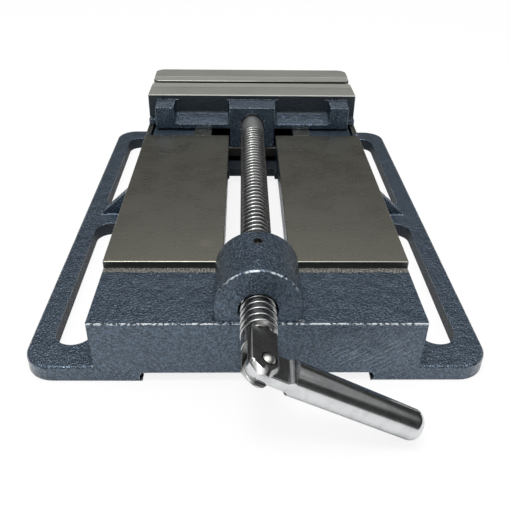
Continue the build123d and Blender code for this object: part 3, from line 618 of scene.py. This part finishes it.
def shade_by_area(data):
    """Shades each corner by the faces round it that turn less than SMOOTH, the larger the face the more, so
    that flat faces look flat and the narrow ones between them look round."""
    data.shade_smooth()
    turn = math.cos(SMOOTH)
    facing = [face.normal.copy() for face in data.polygons]
    weighted = [face.normal * face.area for face in data.polygons]
    around = [[] for _ in data.vertices]
    for face in data.polygons:
        for vertex in face.vertices:
            around[vertex].append(face.index)
    normals = []
    for face in data.polygons:
        for vertex in face.vertices:
            near = (weighted[i] for i in around[vertex] if facing[i].dot(facing[face.index]) > turn)
            normals.append(sum(near, Vector()).normalized())
    data.normals_split_custom_set(normals)


def keep_side(mesh, x, rear):
    """Cuts a closed mesh square across at x, keeps one side of it and closes the cut."""
    everything = mesh.verts[:] + mesh.edges[:] + mesh.faces[:]
    bmesh.ops.bisect_plane(
        mesh,
        geom=everything,
        dist=1e-7,
        plane_co=(x, 0, 0),
        plane_no=(1, 0, 0),
        clear_inner=rear,
        clear_outer=not rear,
    )
    rim = [e for e in mesh.edges if e.is_boundary]
    bmesh.ops.holes_fill(mesh, edges=rim, sides=0)


def to_piece(name, meshes, material, body, node):
    """Makes one object of closed bmeshes and lets it stand for a CAD node."""
    data = bpy.data.meshes.new(name)
    whole = bmesh.new()
    for mesh in meshes:
        part = bpy.data.meshes.new(name + "_part")
        mesh.to_mesh(part)
        mesh.free()
        whole.from_mesh(part)
        bpy.data.meshes.remove(part)
    whole.to_mesh(data)
    whole.free()
    piece = bpy.data.objects.new(name, data)
    bpy.context.scene.collection.objects.link(piece)
    wear_material(piece, material)
    shade_by_area(data)
    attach(piece, body)
    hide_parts(node)


def trapezoid_thread(sizes):
    """A trapezoidal thread, spun in one go from the outline of a single pitch and cut square at both ends."""
    crest = SPINDLE_RADIUS
    root = crest - sizes.thread_depth
    pitch = sizes.thread_pitch
    flank = sizes.thread_depth * math.tan(math.radians(FLANK_DEGREES))
    land = (pitch - 2 * flank) / 2
    soft = sizes.crest_round
    inset = land / 2 + flank + soft * math.tan(math.radians((90 - FLANK_DEGREES) / 2))
    rise = []
    for step in range(CREST_STEPS + 1):
        angle = math.radians(FLANK_DEGREES + step * (90 - FLANK_DEGREES) / CREST_STEPS)
        rise.append((inset - soft * math.cos(angle), crest - soft + soft * math.sin(angle)))
    half = [(0, root), (land / 2, root), *rise]
    outline = half + [(pitch - along, radius) for along, radius in reversed(half)]
    mesh = bmesh.new()
    start = THREAD_FRONT - SPARE_TURNS * pitch
    corners = [mesh.verts.new((start + along, 0, radius)) for along, radius in outline]
    edges = [mesh.edges.new(pair) for pair in zip(corners, corners[1:])]
    turns = math.ceil((THREAD_REAR - THREAD_FRONT) / pitch) + 2 * SPARE_TURNS
    steps = turns * sizes.steps_per_turn
    bmesh.ops.spin(
        mesh,
        geom=corners + edges,
        cent=(0, 0, 0),
        axis=(1, 0, 0),
        dvec=(pitch / sizes.steps_per_turn, 0, 0),
        angle=math.tau * turns,
        steps=steps,
        use_merge=False,
        use_duplicate=False,
    )
    bmesh.ops.remove_doubles(mesh, verts=mesh.verts, dist=THREAD_WELD)
    bmesh.ops.translate(mesh, verts=mesh.verts, vec=(0, 0, SPINDLE_AXIS_Z))
    keep_side(mesh, THREAD_FRONT - 2 * LAP, rear=True)
    keep_side(mesh, THREAD_REAR, rear=False)
    bmesh.ops.recalc_face_normals(mesh, faces=mesh.faces)
    return mesh


def by_lock_pin(edge):
    """Whether an edge belongs to the small drilled hole on top of the boss."""
    return all(math.hypot(v.co.x - LOCK_PIN_X, v.co.y) < LOCK_HOLE_REACH for v in edge.verts)


class VISE_OT_castings(bpy.types.Operator):
    """Enamel the base and the movable jaw, and grind their tops"""

    bl_idname = "vise.castings"
    bl_label = "Castings"

    def execute(self, context):
        material = hammertone(context.scene.vise_colours)
        sizes = context.scene.vise_sizes
        for node, body in zip(CASTINGS, ("fixed_frame", "sliding_jaw")):
            mesh = merged_copy(node)
            ease_edges(mesh, sizes.casting_edge, spared=by_lock_pin)
            to_piece(node + "_enamelled", [mesh], material, body, node)
        return {"FINISHED"}


class VISE_OT_plates(bpy.types.Operator):
    """Grind the jaw plates"""

    bl_idname = "vise.plates"
    bl_label = "Jaw plates"

    def execute(self, context):
        material = ground_plate(context.scene.vise_colours)
        for node in PLATES:
            wear_material(NODES[node], material)
        return {"FINISHED"}


class VISE_OT_spindle(bpy.types.Operator):
    """Cut the spindle's thread between its fork and its neck"""

    bl_idname = "vise.spindle"
    bl_label = "Threaded spindle"

    def execute(self, context):
        sizes = context.scene.vise_sizes
        colour = list(context.scene.vise_colours.spindle)
        material = turned_steel("bright_turned_steel", colour, 0.16, (2.5, 0.25, 0.25))
        fork = merged_copy("spindle")
        keep_side(fork, THREAD_FRONT - LAP, rear=False)
        ease_edges(fork, sizes.steel_edge)
        neck = merged_copy("spindle")
        keep_side(neck, THREAD_REAR - LAP, rear=True)
        meshes = [fork, trapezoid_thread(sizes), neck]
        to_piece("spindle_threaded", meshes, material, "screw", "spindle")
        return {"FINISHED"}


class VISE_OT_handle(bpy.types.Operator):
    """Polish the handle bar"""

    bl_idname = "vise.handle"
    bl_label = "Handle"

    def execute(self, context):
        sizes = context.scene.vise_sizes
        colour = list(context.scene.vise_colours.handle)
        material = turned_steel("polished_steel", colour, 0.12, (0.3, 2.0, 0.6))
        bar = merged_copy("handle")
        ease_edges(bar, sizes.steel_edge)
        to_piece("handle_polished", [bar], material, "handle_bar", "handle")
        return {"FINISHED"}


class VISE_OT_small_parts(bpy.types.Operator):
    """Finish the nut, keeper, pins, washers, thrust disc and cap screws"""

    bl_idname = "vise.small_parts"
    bl_label = "Nut, pins and screws"

    def execute(self, context):
        bright = turned_steel("bright_pin_steel", linear("#b4b4b0"), 0.26, (1.5, 1.5, 0.3))
        iron = turned_steel("machined_iron", linear("#42423d"), 0.38, (2.0, 0.3, 0.3))
        black = black_oxide()
        for node in PINS:
            wear_material(NODES[node], bright)
        wear_material(NODES["screw_nut"], iron)
        wear_material(NODES["keeper_plate"], iron)
        for node in SCREWS:
            wear_material(NODES[node], black)
        return {"FINISHED"}


def seen_white(tree, surface):
    """Shows a surface nearly white to the eye, while it still takes a soft shadow."""
    to_eye = add(tree, "LightPath").outputs["Is Camera Ray"]
    share = add(tree, "Math", {0: to_eye, 1: FLOOR_WHITE}, operation="MULTIPLY")
    white = add(tree, "Emission", {"Color": (1, 1, 1, 1), "Strength": 1.0})
    return add(tree, "MixShader", {0: share, 1: surface, 2: white})


def softbox(name, place, target, size, watts):
    """A large rectangular studio lamp, aimed at a point."""
    lamp = bpy.data.lights.new(name, "AREA")
    lamp.shape = "RECTANGLE"
    lamp.size, lamp.size_y = size
    lamp.energy = watts
    box = bpy.data.objects.new(name, lamp)
    aim = (Vector(target) - Vector(place)).to_track_quat("-Z", "Y")
    box.matrix_world = Matrix.Translation(place) @ aim.to_matrix().to_4x4()
    bpy.context.scene.collection.objects.link(box)


class VISE_OT_stage(bpy.types.Operator):
    """Set up the floor, the soft light and the camera"""

    bl_idname = "vise.stage"
    bl_label = "Studio"

    def execute(self, context):
        scene = context.scene
        mesh = bmesh.new()
        bmesh.ops.create_grid(mesh, x_segments=1, y_segments=1, size=FLOOR_REACH)
        bmesh.ops.translate(mesh, verts=mesh.verts, vec=(0, 0, -FLOOR_DROP))
        data = bpy.data.meshes.new("floor")
        mesh.to_mesh(data)
        mesh.free()
        floor = bpy.data.objects.new("floor", data)
        scene.collection.objects.link(floor)
        material, tree, output = new_material("pale_floor")
        matt = add(tree, "BsdfDiffuse", {"Color": list(scene.vise_colours.floor)})
        tree.links.new(seen_white(tree, matt).outputs[0], output.inputs["Surface"])
        wear_material(floor, material)

        # Room: white to the eye. Its light on the vise is dim from near the ground and bright from overhead
        world = bpy.data.worlds.new("studio")
        world.use_nodes = True
        tree = world.node_tree
        tree.nodes.clear()
        direction = add(tree, "SeparateXYZ", {0: add(tree, "TexCoord").outputs["Generated"]})
        ramp = add(tree, "ValToRGB", {0: direction.outputs["Z"]})
        stops = ramp.color_ramp.elements
        for stop, (position, grey) in zip(stops, (ROOM_GREYS[0], ROOM_GREYS[-1])):
            stop.position, stop.color = position, (grey, grey, grey, 1)
        for position, grey in ROOM_GREYS[1:-1]:
            stops.new(position).color = (grey, grey, grey, 1)
        room = add(tree, "Background", {"Color": ramp, "Strength": 1.0})
        plain = add(tree, "Background", {"Color": (1, 1, 1, 1), "Strength": 1.0})
        to_eye = add(tree, "LightPath").outputs["Is Camera Ray"]
        add(tree, "OutputWorld", {"Surface": add(tree, "MixShader", {0: to_eye, 1: room, 2: plain})})
        scene.world = world

        softbox("overhead_softbox", **LAMP)

        # Camera at the photograph's angle: 33 degrees down, a little off the vise's middle
        pitch, yaw, roll = CAMERA_PITCH, CAMERA_YAW, CAMERA_ROLL
        level = math.cos(pitch)
        ahead = Vector((math.cos(yaw) * level, -math.sin(yaw) * level, -math.sin(pitch)))
        side = Vector((-math.sin(yaw), -math.cos(yaw), 0))
        top = side.cross(ahead)
        right = math.cos(roll) * side + math.sin(roll) * top
        above = math.cos(roll) * top - math.sin(roll) * side
        turn = Matrix((right, above, -ahead)).transposed().to_4x4()
        lens = bpy.data.cameras.new("camera")
        lens.sensor_width = CAMERA_SENSOR
        lens.lens = CAMERA_LENS
        camera = bpy.data.objects.new("camera", lens)
        camera.matrix_world = Matrix.Translation(CAMERA_PLACE) @ turn
        scene.collection.objects.link(camera)
        scene.camera = camera
        scene.view_settings.view_transform = "Standard"
        return {"FINISHED"}


STEPS = (
    VISE_OT_castings,
    VISE_OT_plates,
    VISE_OT_spindle,
    VISE_OT_handle,
    VISE_OT_small_parts,
    VISE_OT_stage,
)


class VISE_PT_steps(bpy.types.Panel):
    """Lists the steps that finish the vise"""

    bl_label = "Drill press vise"
    bl_idname = "VISE_PT_steps"
    bl_space_type = "VIEW_3D"
    bl_region_type = "UI"
    bl_category = "Vise"

    def draw(self, context):
        layout = self.layout
        for name in ViseSizes.__annotations__:
            layout.prop(context.scene.vise_sizes, name)
        for name in ViseColours.__annotations__:
            layout.prop(context.scene.vise_colours, name)
        for step in STEPS:
            layout.operator(step.bl_idname)


CLASSES = (ViseSizes, ViseColours, *STEPS, VISE_PT_steps)


def register():
    for cls in CLASSES:
        bpy.utils.register_class(cls)
    bpy.types.Scene.vise_sizes = bpy.props.PointerProperty(type=ViseSizes)
    bpy.types.Scene.vise_colours = bpy.props.PointerProperty(type=ViseColours)


def unregister():
    del bpy.types.Scene.vise_colours
    del bpy.types.Scene.vise_sizes
    for cls in reversed(CLASSES):
        bpy.utils.unregister_class(cls)


def main():
    register()
    bpy.ops.vise.castings()
    bpy.ops.vise.plates()
    bpy.ops.vise.spindle()
    bpy.ops.vise.handle()
    bpy.ops.vise.small_parts()
    bpy.ops.vise.stage()


if __name__ == "__main__":
    main()
